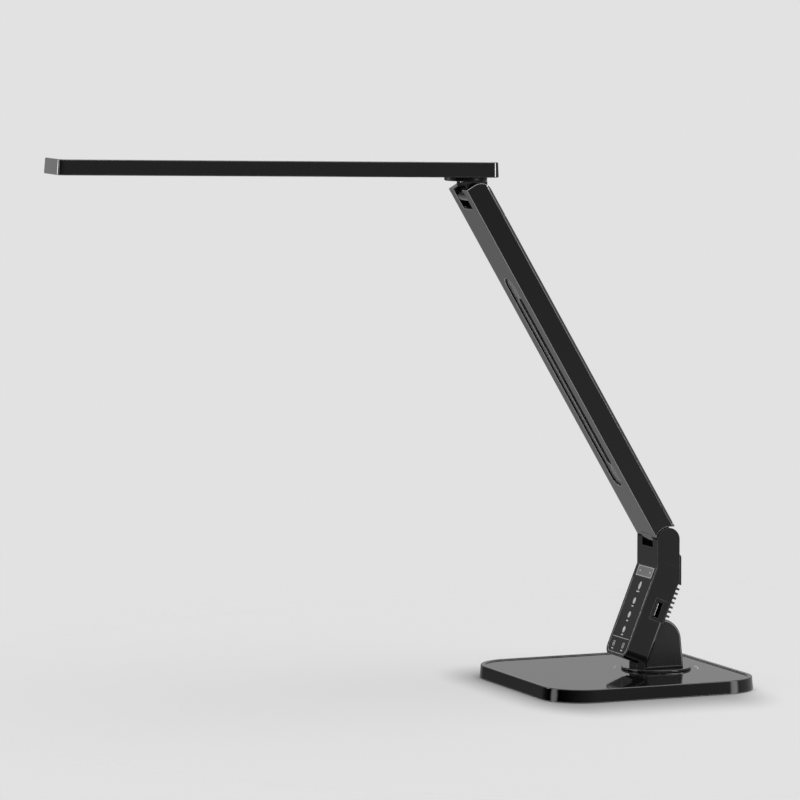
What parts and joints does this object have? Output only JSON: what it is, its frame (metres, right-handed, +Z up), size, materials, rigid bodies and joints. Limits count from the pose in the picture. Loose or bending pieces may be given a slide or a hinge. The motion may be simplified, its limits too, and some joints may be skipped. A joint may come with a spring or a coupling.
{
  "type": "folding led desk lamp",
  "caption": "Folding desk lamp: square weighted base, swivel neck, bent control column with a touch panel and socket, straight upper arm and a long flat light head.",
  "frame": {"origin": "centre of the base on its underside", "axes": "+Z up, the head reaches to -Y over the desk, +X is the side with the socket"},
  "size_m": [0.18, 0.5625, 0.4273],
  "materials": {
    "gloss_black": "high gloss",
    "satin_black": "satin",
    "panel_black": "high gloss",
    "steel": "zinc plated",
    "plated_steel": "bright plated",
    "aluminium": "mill finish",
    "rubber": "matt",
    "natural_nylon": "satin",
    "display_grey": "gloss window",
    "board_green": "solder mask",
    "white_plastic": "satin",
    "diode_yellow": "phosphor",
    "clear_acrylic": "clear, polished edges",
    "opal": "opal, fine texture",
    "cable_black": "matt"
  },
  "bodies": {
    "base": {"base_cover": "gloss_black", "base_weight": "steel", "base_plate": "satin_black", "rubber_feet": "rubber", "base_screws": "steel", "inlet_housing": "satin_black", "inlet_pin": "plated_steel", "swivel_bush": "natural_nylon"},
    "neck": {"turntable": "gloss_black", "swivel_washer": "steel", "swivel_nut": "steel", "neck_left": "gloss_black", "neck_right": "gloss_black", "neck_screws": "steel", "tilt_pin": "steel"},
    "column": {"column_casing": "gloss_black", "column_back_cover": "gloss_black", "ribbed_cover": "satin_black", "touch_panel": "panel_black", "display_window": "display_grey", "control_board": "board_green", "usb_shell": "plated_steel", "usb_tongue": "satin_black", "usb_bezel": "satin_black", "tilt_bracket": "steel", "bracket_screws": "steel", "column_screws": "steel", "arm_pin": "steel", "ear_washers": "natural_nylon"},
    "arm": {"arm_casing": "gloss_black", "arm_back_cover": "gloss_black", "arm_tongue": "gloss_black", "tongue_screws": "steel", "slot_liner": "satin_black", "arm_cable": "cable_black", "head_pin": "steel", "fork_washers": "steel"},
    "knuckle": {"knuckle": "satin_black", "swivel_disc": "satin_black", "knuckle_washer": "steel", "knuckle_nut": "steel"},
    "head": {"head_frame": "gloss_black", "head_cover": "gloss_black", "heat_plate": "aluminium", "led_strips": "white_plastic", "led_chips": "diode_yellow", "light_guide": "clear_acrylic", "reflector": "white_plastic", "diffuser": "opal", "head_screws": "steel"}
  },
  "joints": [
    {"name": "base_swivel", "type": "hinge", "parent": "base", "child": "neck", "pos_m": [0, 0.036, 0.0093], "axis": [0, 0, 1], "range_deg": [-90, 90]},
    {"name": "column_tilt", "type": "hinge", "parent": "neck", "child": "column", "pos_m": [0, 0.0323, 0.0327], "axis": [1, 0, 0], "range_deg": [-25, 15]},
    {"name": "arm_fold", "type": "hinge", "parent": "column", "child": "arm", "pos_m": [0, 0.03755, 0.1147], "axis": [1, 0, 0], "range_deg": [-90, 22]},
    {"name": "head_tilt", "type": "hinge", "parent": "arm", "child": "knuckle", "pos_m": [0, -0.12818, 0.39241], "axis": [1, 0, 0], "range_deg": [-5, 118]},
    {"name": "head_swivel", "type": "hinge", "parent": "knuckle", "child": "head", "pos_m": [0, -0.13064, 0.40648], "axis": [0, 0.0244, 0.9997], "range_deg": [-90, 90]}
  ]
}
